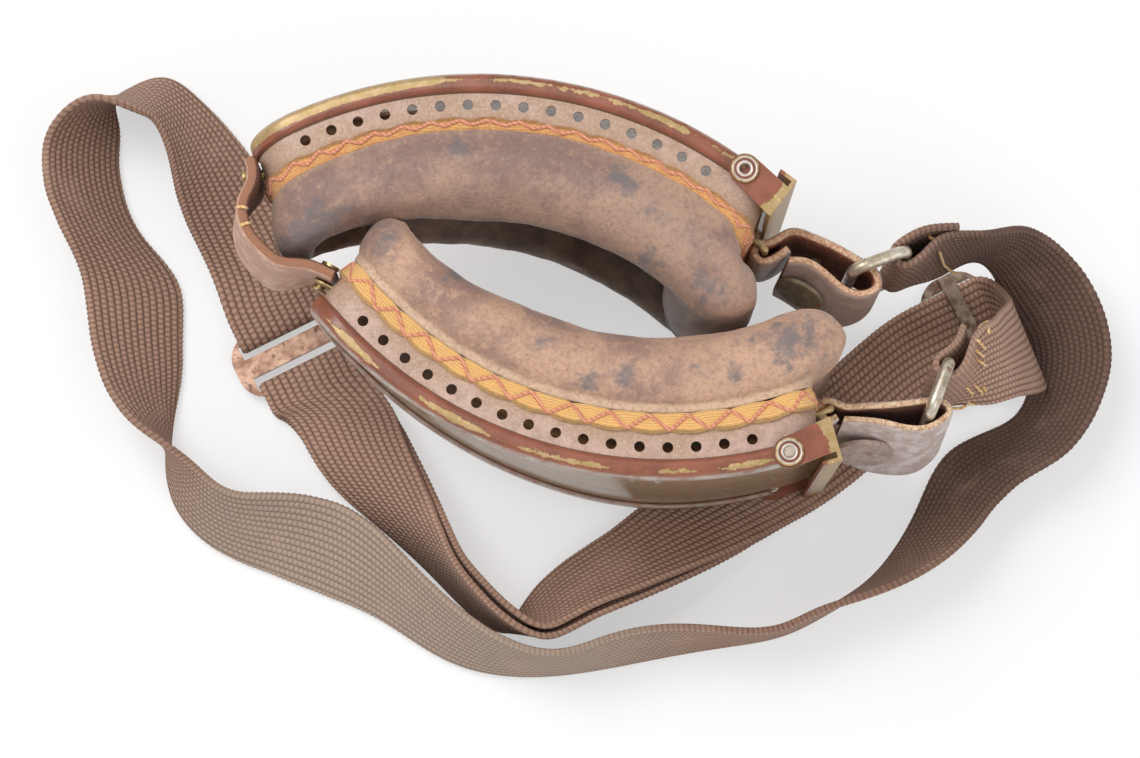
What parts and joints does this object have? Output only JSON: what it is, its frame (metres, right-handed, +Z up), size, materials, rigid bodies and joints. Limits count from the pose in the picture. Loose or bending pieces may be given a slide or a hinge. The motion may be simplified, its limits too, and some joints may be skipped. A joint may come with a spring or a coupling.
{
  "type": "flight goggles",
  "caption": "Old flying goggles with curved glass in brass rims, leather face cushions, wire rings and a webbing strap with two sliders, folded and laid on a table.",
  "frame": {"origin": "on the table, under the middle of the box round the laid-out goggles", "axes": "+Z up from the table; +X along the long way of the layout, from the nose leather towards the temple rings; +Y from the left eyepiece towards the right eyepiece"},
  "size_m": [0.2086, 0.12, 0.0622],
  "materials": {
    "rim_paint": "red-brown lacquer worn through to brass in jagged patches",
    "wall_lacquer": "dull pinkish lacquer, mottled",
    "brass": "old brass, stained",
    "lens_glass": "clear glass with a pale green edge",
    "cushion_leather": "tan padded leather, speckled and finely cracked",
    "lining_cloth": "dark brown cloth",
    "tape_cloth": "golden woven tape with zigzag thread",
    "tab_leather": "brown leather with pale cut edges",
    "bridge_leather": "pinkish brown leather",
    "ring_wire": "dull plated wire, stained",
    "webbing": "brown elastic webbing, woven in a grid",
    "slider_metal": "rust-stained plate"
  },
  "bodies": {
    "right_eyepiece": {"right_vent_wall": "wall_lacquer", "right_lens_rim": "rim_paint", "right_lens": "lens_glass", "right_latch_eyelets": "brass", "right_wall_loop": "brass", "right_cushion": "cushion_leather", "right_cushion_lining": "lining_cloth", "right_binding_tape": "tape_cloth", "right_temple_tab": "tab_leather", "right_tab_rivet": "brass", "right_bridge_rivet": "brass", "nose_bridge": "bridge_leather", "strap_main": "webbing"},
    "left_eyepiece": {"left_vent_wall": "wall_lacquer", "left_lens_rim": "rim_paint", "left_lens": "lens_glass", "left_latch_eyelets": "brass", "left_wall_loop": "brass", "left_cushion": "cushion_leather", "left_cushion_lining": "lining_cloth", "left_binding_tape": "tape_cloth", "left_temple_tab": "tab_leather", "left_tab_rivet": "brass", "left_bridge_rivet": "brass", "left_latch_pin": "brass", "strap_doubled": "webbing", "strap_short": "webbing"},
    "right_latch": {"right_temple_latch": "rim_paint"},
    "left_latch": {"left_temple_latch": "rim_paint"},
    "right_ring": {"right_wire_ring": "ring_wire"},
    "left_ring": {"left_wire_ring": "ring_wire"},
    "slider_a": {"slider_a": "slider_metal"},
    "slider_b": {"slider_b": "slider_metal"}
  },
  "joints": [
    {"name": "nose_fold", "type": "hinge", "parent": "right_eyepiece", "child": "left_eyepiece", "pos_m": [-0.05796, 0.02109, 0.048], "axis": [0, 0, -1], "range_deg": [0, 30], "deforming": ["nose_bridge", "strap_main"]},
    {"name": "right_latch_swing", "type": "hinge", "parent": "right_eyepiece", "child": "right_latch", "pos_m": [0.03102, 0.02994, 0.03], "axis": [0, 0, 1], "range_deg": [0, 95]},
    {"name": "left_latch_swing", "type": "hinge", "parent": "left_eyepiece", "child": "left_latch", "pos_m": [0.03854, -0.02248, 0.033], "axis": [0, 0, -1], "range_deg": [0, 95]},
    {"name": "right_ring_swing", "type": "hinge", "parent": "right_eyepiece", "child": "right_ring", "pos_m": [0.05124, 0.01199, 0.0194], "axis": [0.0339, 0.0848, 0.9958], "range_deg": [-20, 20], "deforming": ["strap_main", "right_temple_tab"]},
    {"name": "left_ring_swing", "type": "hinge", "parent": "left_eyepiece", "child": "left_ring", "pos_m": [0.06524, -0.01711, 0.0227], "axis": [0.0254, 0.1822, 0.9829], "range_deg": [-20, 20], "deforming": ["strap_short", "left_temple_tab"]},
    {"name": "slider_a_slide", "type": "slide", "parent": "left_eyepiece", "child": "slider_a", "axis": [0.4472, -0.8944, 0], "range_m": [-0.006, 0.006], "deforming": ["strap_main", "strap_doubled"]},
    {"name": "slider_b_slide", "type": "slide", "parent": "left_eyepiece", "child": "slider_b", "axis": [0.8944, 0.4472, 0], "range_m": [-0.006, 0.006], "deforming": ["strap_doubled", "strap_short"]}
  ]
}
